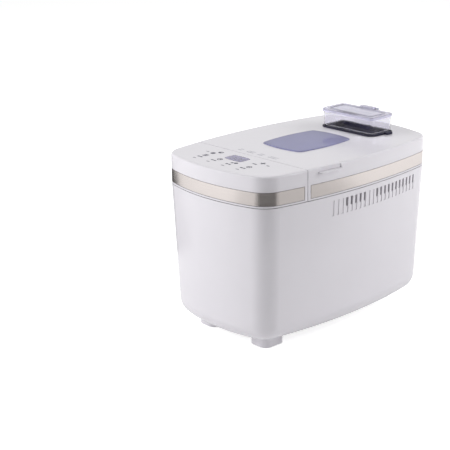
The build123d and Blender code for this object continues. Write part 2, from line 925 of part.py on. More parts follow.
def pan_base_ring():
    """Ring under the pan that sits in the seat."""
    ring = upright(ring_radius, seat_top, pan_low, 0, chamber_y)
    return ring - upright(ring_radius - ring_wall, seat_top - overrun, pan_low + overrun, 0, chamber_y)


def pan_bush():
    """Flanged bush in the pan's floor."""
    low, high = pan_low - bush_flange_height, pan_low + pan_wall + bush_rise
    bush = upright(bush_flange, low, pan_low, 0, chamber_y)
    bush += upright(bush_radius, pan_low, high, 0, chamber_y)
    return bush - upright(pan_shaft_radius + run_gap, low - overrun, high + overrun, 0, chamber_y)


def pan_ears():
    """Ears on the pan's ends in which the bail hinges."""
    end = pan_length / 2 + pan_lip - ear_thickness
    z = (bail_z - ear_height / 2, pan_top - pan_lip_thickness)
    ears = []
    for j in (1, -1):
        y = sorted((chamber_y + j * (end - ear_thickness), chamber_y + j * (end + ear_thickness)))
        ear = block((-ear_width / 2, ear_width / 2), y, z) - pan_solid(pan_low, pan_top, 0.0)
        ears.append(ear - rod_y(bail_wire + run_gap, y[0] - overrun, y[1] + overrun, 0, bail_z))
    return union(ears)


def pan_bail():
    """Wire handle folded down beside the pan, with its ends turned into the ears."""
    end = pan_length / 2 + pan_lip + bail_side_gap + bail_wire
    tip = pan_length / 2 + pan_lip - ear_thickness / 2
    corners = [(0, -tip), (0, -end), (bail_reach, -end), (bail_reach, end), (0, end), (0, tip)]
    points = [(x, chamber_y + y, bail_z) for x, y in corners]
    path = FilletPolyline(*points, radius=[bail_end_bend, bail_bend, bail_bend, bail_end_bend])
    start = Plane(origin=points[0], z_dir=(0, -1, 0))
    return sweep(start * Circle(bail_wire), path=path)


def pan_shaft():
    """Short shaft through the pan's bush."""
    return upright(pan_shaft_radius, bar_low, paddle_low() + paddle_hub_height, 0, chamber_y)


def pan_coupler():
    """Bar on the shaft's lower end that the dogs push round."""
    x = (-bar_length / 2, bar_length / 2)
    y = (chamber_y - bar_width / 2, chamber_y + bar_width / 2)
    bar = block(x, y, (bar_low, bar_low + bar_height))
    bar += upright(bar_boss, bar_low, bar_low + bar_height, 0, chamber_y)
    bore = (bar_low - overrun, bar_low + bar_height + overrun)
    return bar - upright(pan_shaft_radius + pin_gap, *bore, 0, chamber_y)


def paddle_low():
    """Underside of the paddle's hub."""
    return pan_low + pan_wall + bush_rise + 2 * fit_gap


def kneading_paddle():
    """Hub with one rounded blade."""
    low = paddle_low()
    hub = upright(paddle_hub_radius, low, low + paddle_hub_height, 0, chamber_y)
    y = (chamber_y - paddle_thickness / 2, chamber_y + paddle_thickness / 2)
    blade = block((0, paddle_reach), y, (low, low + paddle_height))
    tip = blade.edges().filter_by(Axis.Y).sort_by(Axis.X)[-2:]
    hub += fillet(tip, paddle_round)
    return hub - upright(pan_shaft_radius + pin_gap, low - overrun, low + paddle_hub_height, 0, chamber_y)


def grip_lip():
    """Thin lip on the lid's side to lift it by, cut off inside the wall."""
    z = cap_top - grip_drop - grip_thickness / 2
    bar = Box(2 * grip_proud, grip_length, grip_thickness)
    bar = fillet(bar.edges().filter_by(Axis.Z).sort_by(Axis.X)[-2:], grip_round)
    return side_frame(grip_y, z) * bar - cap_solid(roof_z, shell_wall)


def grip_scoop_cut():
    """Shallow scoop above the lip for the fingertips."""
    tall = 2 * grip_drop
    return side_frame(grip_y, cap_top) * Box(2 * grip_scoop, grip_length, tall)


def window_face(z, inset):
    """Outline of the lid's window."""
    half_x, half_y = window_width / 2, window_length / 2
    return bowed(half_x, half_y, window_bow, window_bow, window_corner, z, inset, window_y)


def lid_cover():
    """Hollow lid shell with grip lips, window and dispenser openings, bosses and hinge ears."""
    lid = cap_solid(cap_top, 0.0) & beyond_y(lid_front, 1)
    lid -= cap_solid(roof_z, shell_wall) & beyond_y(lid_front + shell_wall, 1)
    lid -= band_ring(band_line) & beyond_y(split_y + band_end - band_line, 1)
    lid = lid - mirrored(grip_scoop_cut()) + mirrored(grip_lip())
    pane_low = cap_top + window_proud - window_thickness
    lid -= extrude(window_face(pane_low, -fit_gap), window_thickness)
    lid -= extrude(window_face(roof_z - overrun, window_lip), shell_wall + 2 * overrun)
    lid -= well_box(fit_gap, roof_z - overrun, cap_top + overrun)
    for x, y in boss_places():
        lid += upright(boss_radius, liner_low + liner_thickness, roof_z + overrun, x, y)
    for x, y in boss_places():
        lid -= screw_hole(x, y, liner_low)
    lid += lid_ears()
    return lid - hinge_notches()


def lid_ears():
    """Plates inside the lid on both sides of each hinge post."""
    inner = hinge_x - post_width / 2 - fit_gap
    outer = hinge_x + post_width / 2 + fit_gap
    radius = knuckle_radius + lid_ear_margin
    ears = []
    for x in ((inner - lid_ear_thickness, inner), (outer, outer + lid_ear_thickness)):
        ear = block(x, (hinge_y - radius, half_depth), (hinge_z, roof_z + overrun))
        ear += rod_x(radius, *x, hinge_y, hinge_z)
        ear -= rod_x(hinge_pin_radius + pin_gap, x[0] - overrun, x[1] + overrun, hinge_y, hinge_z)
        ears.append(ear)
    return mirrored(union(ears)) & cap_solid(cap_top, shell_wall / 2)


def hinge_notches():
    """Openings in the rear wall that let the lid swing past the posts."""
    half = post_width / 2 + fit_gap
    x = (hinge_x - half, hinge_x + half)
    return mirrored(block(x, (hinge_y, shell_depth), (seam_z - overrun, seam_z + hinge_notch_rise)))


def lid_band():
    """Steel trim round the lid."""
    return (band_ring() & beyond_y(split_y + band_end, 1)) - hinge_notches()


def hinge_pins():
    """Pins fixed in the lid's ears that turn in the posts."""
    reach = post_width / 2 + fit_gap + lid_ear_thickness
    return mirrored(rod_x(hinge_pin_radius, hinge_x - reach, hinge_x + reach, hinge_y, hinge_z))


def lid_window():
    """Tinted pane that stands a little proud of the lid."""
    low = cap_top + window_proud - window_thickness
    pane = extrude(window_face(low, 0.0), window_thickness)
    return fillet(pane.faces().sort_by(Axis.Z)[-1].edges(), window_edge)


def boss_places():
    """Places of the liner's screw bosses."""
    return [(i * (half_width - boss_inset), split_y + y) for i in (1, -1) for y in boss_starts]


def lid_liner():
    """Sheet liner under the lid: a flange with a raised dome over the pan."""
    flange = extrude(cap_face(liner_low, shell_wall + fit_gap), liner_thickness)
    flange = flange & beyond_y(liner_front, 1) & beyond_y(liner_back, -1)
    dome_high = liner_top + liner_thickness
    liner = flange + chamber_box(liner_margin, liner_low, dome_high)
    liner -= chamber_box(liner_margin - liner_thickness, liner_low - overrun, liner_top)
    sheet = (liner_top - overrun, dome_high + overrun)
    liner -= extrude(window_face(sheet[0], window_lip), sheet[1] - sheet[0])
    half = well_half + fit_gap
    liner -= block((-half, half), (well_front - fit_gap, well_back + fit_gap), sheet)
    swing = crank_length * math.sin(math.radians(crank_tilt)) + flap_knuckle_radius
    liner -= block((0, half + crank_thickness + crank_room), (flap_y - swing, flap_y + swing), sheet)
    for x, y in boss_places():
        liner -= screw_hole(x, y, liner_low)
    return liner


def liner_screws():
    """Screws that hold the liner to the lid's bosses."""
    return union([screw(x, y, liner_low) for x, y in boss_places()])


def lid_inner_glass():
    """Lower pane that lies on the liner under the window."""
    return extrude(window_face(liner_top + liner_thickness, 0.0), inner_glass_thickness)


def lid_gasket():
    """Soft ring under the liner that meets the deck's rim."""
    low = rim_top + gasket_gap
    ring = chamber_box(rim_offset + rim_thickness, low, liner_low)
    return ring - chamber_box(rim_offset, low - overrun, liner_low + overrun)


def well_box(offset, low, high):
    """Rounded box round the tray's well, moved out by an offset."""
    depth = well_back - well_front
    return rounded(2 * (well_half + offset), depth + 2 * offset, well_corner + offset, low, high, tray_y)


def dispenser_tray():
    """Dark tray in the lid: a flange with a finger tab, a sloping well, and ears for the flap."""
    tray = rounded(tray_width, tray_depth, tray_corner, cap_top, tray_top, tray_y)
    tab_x = (tray_width / 2 - overrun, tray_width / 2 + tab_reach)
    tab_y = (tray_y + tab_offset - tab_width / 2, tray_y + tab_offset + tab_width / 2)
    tray += block(tab_x, tab_y, (cap_top, cap_top + tab_height))
    tray += well_box(0, well_low, cap_top)
    tray -= well_box(-well_wall, well_low - overrun, tray_top + overrun)
    back = well_back - well_wall / 2
    slope = [(outlet_back, well_low), (back, well_low), (back, ramp_top), (outlet_back, well_low + well_wall)]
    ramp = make_face(Plane.YZ * Polyline(*slope, close=True))
    tray += extrude(ramp, well_half - well_wall / 2, both=True)
    ear_low = flap_z - flap_knuckle_radius
    for x in ((-well_half, flap_ear - well_half), (well_half - flap_ear, well_half)):
        ear = block(x, (flap_y - flap_knuckle_radius, flap_y + flap_knuckle_radius), (ear_low, well_low))
        tray += ear - rod_x(flap_pin_radius + run_gap, x[0] - overrun, x[1] + overrun, flap_y, flap_z)
    return tray


def flap_half():
    """Half the flap's width, between the tray's ears."""
    return well_half - flap_ear - fit_gap


def dispenser_flap():
    """Trap door under the well, hinged at its rear edge."""
    half = flap_half()
    high = well_low - fit_gap
    plate = block((-half, half), (well_front, flap_y), (high - flap_thickness, high))
    plate += rod_x(flap_knuckle_radius, -half, half, flap_y, flap_z)
    return plate - rod_x(flap_pin_radius + pin_gap, -half - overrun, half + overrun, flap_y, flap_z)


def flap_pin():
    """Hinge pin of the flap, with the crank that the solenoid pulls."""
    x = (well_half + fit_gap, well_half + fit_gap + crank_thickness)
    pin = rod_x(flap_pin_radius, -well_half, x[1], flap_y, flap_z)
    arm = Pos(0, 0, crank_length / 2) * Box(crank_thickness, 2 * flap_knuckle_radius, crank_length)
    arm += rod_x(flap_knuckle_radius, -crank_thickness / 2, crank_thickness / 2, 0, 0)
    arm += rod_x(flap_knuckle_radius, -crank_thickness / 2, crank_thickness / 2, 0, crank_length)
    pin += Pos((x[0] + x[1]) / 2, flap_y, flap_z) * Rot(-crank_tilt, 0, 0) * arm
    return pin + rod_x(crank_pin_radius, x[0], solenoid_x() + clevis_width / 2, crank_y(), crank_z())


def crank_y():
    """Rest place of the crank's pin along the machine."""
    return flap_y + crank_length * math.sin(math.radians(crank_tilt))


def crank_z():
    """Rest height of the crank's pin."""
    return flap_z + crank_length * math.cos(math.radians(crank_tilt))


def solenoid_x():
    """Middle of the solenoid, beside the tray's well."""
    return well_half + 2 * fit_gap + solenoid_size[0] / 2


def plunger_z():
    """Height of the plunger, halfway up the crank pin's small rise."""
    return (crank_z() + flap_z + crank_length) / 2


def clevis_half():
    """Half the clevis's length along the machine."""
    return crank_pin_radius + crank_slack + clevis_wall


def solenoid_back():
    """Rear face of the solenoid, clear of the clevis when it is pulled in."""
    return 2 * flap_y - crank_y() - clevis_half() - 2 * fit_gap


def flap_solenoid():
    """Coil on the liner that pulls the flap's crank."""
    width, length, height = solenoid_size
    x, y = solenoid_x(), solenoid_back()
    low = liner_top + liner_thickness
    coil = block((x - width / 2, x + width / 2), (y - length, y), (low, low + height))
    return coil - rod_y(plunger_radius + run_gap, y - length - overrun, y + overrun, x, plunger_z())


def solenoid_plunger():
    """Sliding core with a slotted clevis round the crank's pin."""
    x, y = solenoid_x(), crank_y()
    half, slack = clevis_half(), crank_pin_radius + crank_slack
    width = (x - clevis_width / 2, x + clevis_width / 2)
    rise = (crank_z() - slack, flap_z + crank_length + slack)
    clevis = block(width, (y - half, y + half), (rise[0] - clevis_wall, rise[1] + clevis_wall))
    clevis -= block((width[0] - overrun, width[1] + overrun), (y - slack, y + slack), rise)
    return clevis + rod_y(plunger_radius, solenoid_back() - plunger_grip, y - half, x, plunger_z())


def dispenser_box():
    """Clear hopper that stands on the tray, open at top and bottom, with ears for its cover."""
    width, depth = tray_width - 2 * box_margin, tray_depth - 2 * box_margin
    box = rounded(width, depth, box_corner, tray_top, box_top, tray_y)
    lip = well_wall + fit_gap
    box += well_box(-lip, tray_top - box_lip, tray_top)
    box -= well_box(-lip - box_wall, tray_top - box_lip - overrun, tray_top + box_wall + overrun)
    inner_width, inner_depth = width - 2 * box_wall, depth - 2 * box_wall
    inner_corner = box_corner - box_wall
    box -= rounded(inner_width, inner_depth, inner_corner, tray_top + box_wall, box_top + overrun, tray_y)
    rear = tray_y + depth / 2
    inner = knuckle_half + fit_gap
    for x in ((-inner - cover_ear, -inner), (inner, inner + cover_ear)):
        ear = block(x, (rear - box_wall, cover_y), (box_top - cover_ear_drop, cover_z))
        ear += rod_x(knuckle_size / 2, *x, cover_y, cover_z)
        box += ear - rod_x(cover_pin_radius + run_gap, x[0] - overrun, x[1] + overrun, cover_y, cover_z)
    return box


def dispenser_lid():
    """Clear cover of the hopper with a rim on three sides and a hinge knuckle at the back."""
    low = box_top + cover_gap
    width, depth = tray_width - 2 * cover_margin, tray_depth - 2 * cover_margin
    high = low + cover_thickness
    plate = rounded(width, depth, cover_corner, high - cover_skirt, high, tray_y)
    inner_width, inner_depth = width - 2 * cover_thickness, depth - 2 * cover_thickness
    inner_corner = cover_corner - cover_thickness
    plate -= rounded(inner_width, inner_depth, inner_corner, low - cover_skirt, low, tray_y)
    rear = tray_y + tray_depth / 2 - box_margin - box_wall
    ear_half = knuckle_half + 2 * fit_gap + cover_ear
    plate -= block((-shell_width, shell_width), (rear, shell_depth), (low - cover_skirt, low))
    plate -= block((-ear_half, ear_half), (rear, shell_depth), (low - overrun, high + overrun))
    x = (-knuckle_half, knuckle_half)
    plate += block(x, (rear - overrun, cover_y), (low, cover_z + knuckle_size / 2))
    plate += rod_x(knuckle_size / 2, *x, cover_y, cover_z)
    return plate - rod_x(cover_pin_radius + pin_gap, x[0] - overrun, x[1] + overrun, cover_y, cover_z)


def dispenser_lid_pin():
    """Hinge pin of the hopper's cover."""
    reach = knuckle_half + fit_gap + cover_ear
    return rod_x(cover_pin_radius, -reach, reach, cover_y, cover_z)


nodes = {
    "body_housing": body_housing,
    "base_plate": base_plate,
    "feet": feet,
    "foot_pads": foot_pads,
    "base_screws": base_screws,
    "drive_chassis": drive_chassis,
    "bearing_housing": bearing_housing,
    "drive_shaft": drive_shaft,
    "large_pulley": large_pulley,
    "drive_coupler": drive_coupler,
    "drive_belt": drive_belt,
    "motor": motor,
    "motor_screws": motor_screws,
    "motor_shaft": motor_shaft,
    "motor_pulley": motor_pulley,
    "oven_chamber": oven_chamber,
    "heating_element": heating_element,
    "heater_clips": heater_clips,
    "temperature_sensor": temperature_sensor,
    "thermal_fuse": thermal_fuse,
    "heat_shield": heat_shield,
    "power_board": power_board,
    "cord_gland": cord_gland,
    "top_deck": top_deck,
    "hinge_posts": hinge_posts,
    "control_housing": control_housing,
    "front_band": front_band,
    "control_screws": control_screws,
    "control_board": control_board,
    "display_module": display_module,
    "display_lens": display_lens_piece,
    "pan_seat": pan_seat,
    "bread_pan": bread_pan,
    "pan_base_ring": pan_base_ring,
    "pan_bush": pan_bush,
    "pan_ears": pan_ears,
    "pan_bail": pan_bail,
    "pan_shaft": pan_shaft,
    "pan_coupler": pan_coupler,
    "kneading_paddle": kneading_paddle,
    "lid_cover": lid_cover,
    "lid_band": lid_band,
    "lid_window": lid_window,
    "lid_liner": lid_liner,
    "lid_inner_glass": lid_inner_glass,
    "lid_gasket": lid_gasket,
    "liner_screws": liner_screws,
    "hinge_pins": hinge_pins,
    "dispenser_tray": dispenser_tray,
    "dispenser_flap": dispenser_flap,
    "flap_pin": flap_pin,
    "flap_solenoid": flap_solenoid,
    "solenoid_plunger": solenoid_plunger,
    "dispenser_box": dispenser_box,
    "dispenser_lid": dispenser_lid,
    "dispenser_lid_pin": dispenser_lid_pin,
}

os.makedirs("parts", exist_ok=True)
for name, make in nodes.items():
    export_step(make(), f"parts/{name}.step")
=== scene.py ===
import math

import bmesh
import bpy
from mathutils import Matrix, Vector


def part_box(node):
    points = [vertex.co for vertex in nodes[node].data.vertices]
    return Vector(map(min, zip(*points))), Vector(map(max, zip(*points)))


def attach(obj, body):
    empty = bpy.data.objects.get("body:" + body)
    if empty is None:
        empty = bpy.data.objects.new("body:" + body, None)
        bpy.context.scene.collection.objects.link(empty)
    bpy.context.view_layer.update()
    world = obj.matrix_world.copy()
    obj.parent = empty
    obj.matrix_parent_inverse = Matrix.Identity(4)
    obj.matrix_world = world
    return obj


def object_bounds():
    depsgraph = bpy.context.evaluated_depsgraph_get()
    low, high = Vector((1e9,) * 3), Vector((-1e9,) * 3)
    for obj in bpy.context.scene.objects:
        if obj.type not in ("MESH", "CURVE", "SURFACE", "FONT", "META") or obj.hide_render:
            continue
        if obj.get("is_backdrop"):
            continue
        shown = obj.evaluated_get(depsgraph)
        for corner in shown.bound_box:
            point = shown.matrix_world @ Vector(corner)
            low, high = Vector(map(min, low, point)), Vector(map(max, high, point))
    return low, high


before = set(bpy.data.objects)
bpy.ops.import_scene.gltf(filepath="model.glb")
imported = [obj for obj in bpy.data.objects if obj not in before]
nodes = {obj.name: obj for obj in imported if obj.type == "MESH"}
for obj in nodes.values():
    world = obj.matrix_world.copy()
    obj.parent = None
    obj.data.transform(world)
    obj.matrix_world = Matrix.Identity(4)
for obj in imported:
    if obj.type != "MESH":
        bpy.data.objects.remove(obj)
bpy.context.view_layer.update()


# Base plate: the bottom cover that closes the shell, injection moulded in grey polypropylene
# with an eroded grain from the tool. Screws from below hold it to the legs of the chassis.

def linear(code):
    """An sRGB hex colour as the linear values that a shader reads."""
    channels = [int(code[start:start + 2], 16) / 255 for start in (1, 3, 5)]
    return tuple(c / 12.92 if c < 0.04045 else ((c + 0.055) / 1.055) ** 2.4 for c in channels) + (1.0,)


def per_metre(width):
    """The scale of a pattern: how often its width in millimetres goes into a metre."""
    return 1000 / width


def add(tree, kind, inputs=None, feeds=None, **settings):
    """Adds one shader node with its settings, sets or links its inputs, and links its result to feeds.
    An input goes by its name, or by its number where several have the same name."""
    node = tree.nodes.new("ShaderNode" + kind)
    for name, value in settings.items():
        setattr(node, name, value)
    named = {socket.name: socket for socket in node.inputs if socket.enabled}
    for key, value in (inputs or {}).items():
        socket = node.inputs[key] if isinstance(key, int) else named[key]
        if isinstance(value, bpy.types.NodeSocket):
            tree.links.new(value, socket)
        else:
            socket.default_value = value
    if feeds is not None:
        result = next(socket for socket in node.outputs if socket.enabled)
        tree.links.new(result, feeds)
    return node


def surface(name, **values):
    """A new material with these shader values, its tree, its shader's inputs and its Object coordinates."""
    material = bpy.data.materials.new(name)
    material.use_nodes = True
    tree = material.node_tree
    finish = tree.nodes["Principled BSDF"].inputs
    for socket, value in values.items():
        finish[socket.replace("_", " ")].default_value = value
    return material, tree, finish, add(tree, "TexCoord").outputs["Object"]


def moulded(name, light, dark, gloss, grain, relief, ior=1.5):
    """Injection-moulded plastic: the colour clouds a little, the gloss wanders and the tool leaves a grain.
    gloss is the range of roughness, grain the grain's width and relief its height, both in millimetres."""
    material, tree, finish, place = surface(name, IOR=ior)
    cloud = add(tree, "TexNoise", {"Vector": place, "Scale": per_metre(70), "Detail": 2.0}).outputs[0]
    add(tree, "Mix", {"Factor": cloud, "A": linear(dark), "B": linear(light)}, finish["Base Color"],
        data_type="RGBA")
    haze = add(tree, "TexNoise", {"Vector": place, "Scale": per_metre(18), "Detail": 3.0}).outputs[0]
    add(tree, "MapRange", {"Value": haze, "To Min": gloss[0], "To Max": gloss[1]}, finish["Roughness"])
    skin = add(tree, "TexNoise", {"Vector": place, "Scale": per_metre(grain), "Detail": 1.0}).outputs[0]
    add(tree, "Bump", {"Height": skin, "Strength": 1.0, "Distance": relief / 1000}, finish["Normal"])
    return material


def dress(material, *names):
    """Gives these nodes their finish."""
    for name in names:
        for slot in nodes[name].material_slots:
            slot.material = material


# Grained grey polypropylene: matt, with a grain of about 1.2 mm that scatters the light.
dress(moulded("grained_grey_polypropylene", "#C9C8CC", "#C1C0C5", (0.45, 0.6), 1.2, 0.03), "base_plate")


# Feet: four squarish feet in the same white ABS as the shell, each with a rubber pad set into its
# sole so that the machine doesn't walk while it kneads.

# Polished white ABS: a clean cool white with a soft gloss and a faint orange peel about 5 mm wide.
white_abs = moulded("polished_white_abs", "#EDEAF0", "#E9E6EC", (0.16, 0.24), 5.0, 0.004)
# Painted shade: the colour darkens towards grey where another wall is within 1.5 mm, which draws the narrow
# gaps as thin grey lines.
gap_shade_reach = 1.5
tree = white_abs.node_tree
colour = tree.nodes["Principled BSDF"].inputs["Base Color"]
clean = colour.links[0].from_socket
gap = add(tree, "AmbientOcclusion", {"Distance": gap_shade_reach / 1000}, samples=8).outputs["AO"]
painted_gap_shade = add(tree, "MapRange", {"Value": gap, "From Min": 0.25, "From Max": 0.68}).outputs[0]
add(tree, "Mix", {"Factor": painted_gap_shade, "A": linear("#625E60"), "B": clean}, colour, data_type="RGBA")
dress(white_abs, "feet")


def rubber(name, light, dark):
    """Moulded rubber: dull and dark, with a fine open grain about 0.8 mm wide."""
    return moulded(name, light, dark, (0.65, 0.85), 0.8, 0.04, ior=1.52)


# Nitrile rubber: charcoal and dull, so the pads read as a soft dark line on the floor.
dress(rubber("nitrile_rubber", "#3A3A3D", "#2E2E31"), "foot_pads")


# Screws and pins: cold-headed carbon steel, plated with bright zinc, in every joint of the
# machine that is screwed or pinned together.

def bare_metal(name, light, dark, gloss, patch):
    """Bare or plated metal: its colour and its gloss change over patches, whose size is in millimetres."""
    material, tree, finish, place = surface(name, Metallic=1.0)
    tone = add(tree, "TexNoise", {"Vector": place, "Scale": per_metre(patch), "Detail": 4.0}).outputs[0]
    add(tree, "Mix", {"Factor": tone, "A": linear(dark), "B": linear(light)}, finish["Base Color"],
        data_type="RGBA")
    add(tree, "MapRange", {"Value": tone, "To Min": gloss[1], "To Max": gloss[0]}, finish["Roughness"])
    return material, tree, finish, place


# Bright zinc plate: pale, slightly blue, with small cloudy patches.
bright_zinc = bare_metal("bright_zinc_plate", "#C9CDD2", "#AEB3B9", (0.22, 0.38), 3.0)[0]
dress(bright_zinc, "base_screws", "motor_screws", "control_screws", "liner_screws", "hinge_pins",
      "dispenser_lid_pin", "flap_pin")


def millimetres(box):
    """The lowest and the highest corner of a node's box, in millimetres."""
    return [corner * 1000 for corner in box]


def bar(mesh, x, y, width, depth):
    """A flat bar, centred on x and y, in millimetres."""
    place = Matrix.Translation((x / 1000, y / 1000, 0))
    sides = Matrix.Diagonal((width / 1000, depth / 1000, 1, 1))
    bmesh.ops.create_grid(mesh, x_segments=1, y_segments=1, size=0.5, matrix=place @ sides)


def film(mesh, low, high):
    """Gives the flat shapes of a mesh their thickness, between two heights in millimetres."""
    risen = bmesh.ops.extrude_face_region(mesh, geom=mesh.faces[:])["geom"]
    tops = [item for item in risen if isinstance(item, bmesh.types.BMVert)]
    bmesh.ops.translate(mesh, verts=tops, vec=(0, 0, (high - low) / 1000))
    bmesh.ops.translate(mesh, verts=mesh.verts[:], vec=(0, 0, low / 1000))


def finished(name, mesh, material):
    """Puts a finished mesh into the scene as an object of this material."""
    data = bpy.data.meshes.new(name)
    mesh.to_mesh(data)
    mesh.free()
    data.materials.append(material)
    made = bpy.data.objects.new(name, data)
    bpy.context.scene.collection.objects.link(made)
    return made


def piece(name, mesh, material, body):
    """A piece of the machine, with the body that it rides on."""
    bmesh.ops.recalc_face_normals(mesh, faces=mesh.faces[:])
    made = finished(name, mesh, material)
    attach(made, body)


# Each head under the base has a cross recess, drawn as a thin dark cross on the head, which is painted
# shade. Shadowed steel: dark steel that stands for the shade on the floor of a punched recess.
recess_shade_steel = bare_metal("shadowed_recess_steel", "#5B5E62", "#46494D", (0.5, 0.6), 1.0)[0]
head_radius = 3.6
middle_row = -30.0
cross_length, cross_width, cross_film = 4.2, 0.9, 0.08
low, high = millimetres(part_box("base_screws"))
crosses = bmesh.new()
for x in (low.x + head_radius, high.x - head_radius):
    for y in (low.y + head_radius, middle_row, high.y - head_radius):
        bar(crosses, x, y, cross_length, cross_width)
        bar(crosses, x, y, cross_width, cross_length)
film(crosses, low.z - cross_film, low.z)
piece("screw_recesses", crosses, recess_shade_steel, "housing")


# Sheet metal: the chassis, the oven chamber, the shield, the seat, the clips and the liner of the lid
# are pressed from hot-dip galvanised steel sheet.

# Galvanised sheet: dull silver, broken into spangles about 9 mm across that each reflect differently.
galvanised, tree, finish, place = surface("galvanised_steel_sheet", Metallic=1.0)
spangle = add(tree, "TexVoronoi", {"Vector": place, "Scale": per_metre(9)}).outputs["Color"]
add(tree, "Mix", {"Factor": spangle, "A": linear("#A9ACB0"), "B": linear("#C4C7CA")}, finish["Base Color"],
    data_type="RGBA")
add(tree, "MapRange", {"Value": spangle, "To Min": 0.32, "To Max": 0.5}, finish["Roughness"])
dress(galvanised, "drive_chassis", "oven_chamber", "heat_shield", "lid_liner", "heater_clips", "pan_seat")


# Kneading drive: a motor hangs under the front of the chassis and turns a large moulded pulley through
# a belt. The pulley's steel shaft runs in a bronze bearing up to a die-cast coupler in the pan seat.

# Painted motor can: drawn steel with a thin satin grey lacquer.
dress(bare_metal("lacquered_motor_can", "#8C9096", "#7A7E84", (0.35, 0.5), 14.0)[0], "motor")
# Filled nylon: black with a satin skin and a grain about 0.9 mm wide from the glass fibre.
black_nylon = moulded("filled_black_nylon", "#242427", "#1B1B1E", (0.42, 0.56), 0.9, 0.02)
dress(black_nylon, "large_pulley", "motor_pulley")
dress(rubber("ribbed_belt_rubber", "#2B2B2C", "#212122"), "drive_belt")
# Turned steel: bright, with rings from the tool about 3 mm apart, coarser than real so that they show.
# The wave pattern comes round every pi / 10 units.
turned_steel, tree, finish, place = bare_metal("turned_steel", "#CFD0D2", "#B9BBBE", (0.2, 0.32), 12.0)
rings = add(tree, "TexWave", {"Vector": place, "Scale": per_metre(3) * math.pi / 10, "Distortion": 0.4},
            bands_direction="Z").outputs[1]
add(tree, "Bump", {"Height": rings, "Strength": 0.3, "Distance": 0.02 / 1000}, finish["Normal"])
dress(turned_steel, "drive_shaft", "motor_shaft")
# Sintered bronze: warm and dull, pitted with pores about 0.7 mm apart that hold the oil.
bronze, tree, finish, place = bare_metal("sintered_bronze", "#B48A55", "#97713F", (0.38, 0.5), 2.0)
pores = add(tree, "TexVoronoi", {"Vector": place, "Scale": per_metre(0.7)}).outputs["Distance"]
add(tree, "Bump", {"Height": pores, "Strength": 0.4, "Distance": 0.05 / 1000}, finish["Normal"])
dress(bronze, "bearing_housing")
# Die-cast aluminium: light grey in flow-marked patches about 5 mm wide, with a rough skin of about 1.6 mm.
cast_aluminium, tree, finish, place = bare_metal(
    "die_cast_aluminium", "#BDBEC0", "#A2A4A7", (0.34, 0.5), 5.0)
skin = add(tree, "TexNoise", {"Vector": place, "Scale": per_metre(1.6), "Detail": 3.0}).outputs[0]
add(tree, "Bump", {"Height": skin, "Strength": 0.5, "Distance": 0.06 / 1000}, finish["Normal"])
dress(cast_aluminium, "drive_coupler")


# Oven: a tubular heating element on clips round the foot of the chamber, a temperature probe in the wall
# and a thermal fuse behind it.

# Heated steel sheath: browned by use, in patches of grey and straw brown about 30 mm long.
sheath, tree, finish, place = surface("heat_browned_sheath", Metallic=0.9)
heat = add(tree, "TexNoise", {"Vector": place, "Scale": per_metre(30), "Detail": 2.0}).outputs[0]
grey, brown = add(tree, "ValToRGB", {"Fac": heat}, finish["Base Color"]).color_ramp.elements
grey.position = 0.35
grey.color = linear("#4C4744")
brown.position = 0.65
brown.color = linear("#7A6F66")
add(tree, "MapRange", {"Value": heat, "To Min": 0.55, "To Max": 0.38}, finish["Roughness"])
dress(sheath, "heating_element")
dress(turned_steel, "temperature_sensor")
dress(black_nylon, "thermal_fuse")


# Circuit boards: glass-epoxy boards under green solder resist. The power board stands beside the motor
# with its relay, capacitor and heat sink, and the control board lies under the panel.

# Solder resist over copper: glossy green, with lighter tracks round fields 1.25 mm long, and a field is
# half a unit of the pattern.
resist, tree, finish, place = surface("green_solder_resist", Roughness=0.3, IOR=1.55)
fields = add(tree, "TexBrick", {"Vector": place, "Scale": per_metre(1.25) / 2, "Color1": linear("#1F5A3A"),
                                "Color2": linear("#256846"), "Mortar": linear("#3E8A63"),
                                "Mortar Size": 0.05}, finish["Base Color"])
add(tree, "Bump", {"Height": fields.outputs[1], "Strength": 0.5, "Distance": 0.04 / 1000}, finish["Normal"])
dress(resist, "power_board", "control_board")


# Body: one deep white shell, moulded with a draft on every wall, vent grooves along the sides and
# a hole at the back for the cord's rubber gland.
dress(white_abs, "body_housing")
dress(rubber("gland_rubber", "#4A4A4E", "#3C3C40"), "cord_gland")


# Top deck: the heat-proof plate between the shell and the oven. Its raised rim meets the lid's gasket,
# and the posts at the back carry the hinge.

# Glass-filled polyester: light warm grey, matt, with a grain about 1.0 mm wide.
dress(moulded("glass_filled_polyester", "#D3D2D3", "#CAC9CB", (0.4, 0.55), 1.0, 0.02), "top_deck")
dress(black_nylon, "hinge_posts")


# Control housing: the fixed white front part of the top. A strip of brushed stainless steel runs round it
# and goes on round the lid, and a clear lens covers the display in the flat panel.
dress(white_abs, "control_housing")

# Brushed stainless steel: warm grey, with level strokes of the belt about 150 mm long. The real ones are
# 0.1 mm apart, and they are drawn 0.8 mm apart so that they show.
stroke_scale = (per_metre(150), per_metre(150), per_metre(0.8))
stainless, tree, finish, place = surface("brushed_stainless_steel", Metallic=1.0)
stretch = add(tree, "Mapping", {"Vector": place, "Scale": stroke_scale}).outputs[0]
strokes = add(tree, "TexNoise", {"Vector": stretch, "Scale": 1.0, "Detail": 3.0}).outputs[0]
add(tree, "Mix", {"Factor": strokes, "A": linear("#D3CBC8"), "B": linear("#DAD3D0")}, finish["Base Color"],
    data_type="RGBA")
add(tree, "MapRange", {"Value": strokes, "To Min": 0.15, "To Max": 0.22}, finish["Roughness"])
add(tree, "Bump", {"Height": strokes, "Strength": 0.12, "Distance": 0.03 / 1000}, finish["Normal"])
dress(stainless, "front_band", "lid_band")
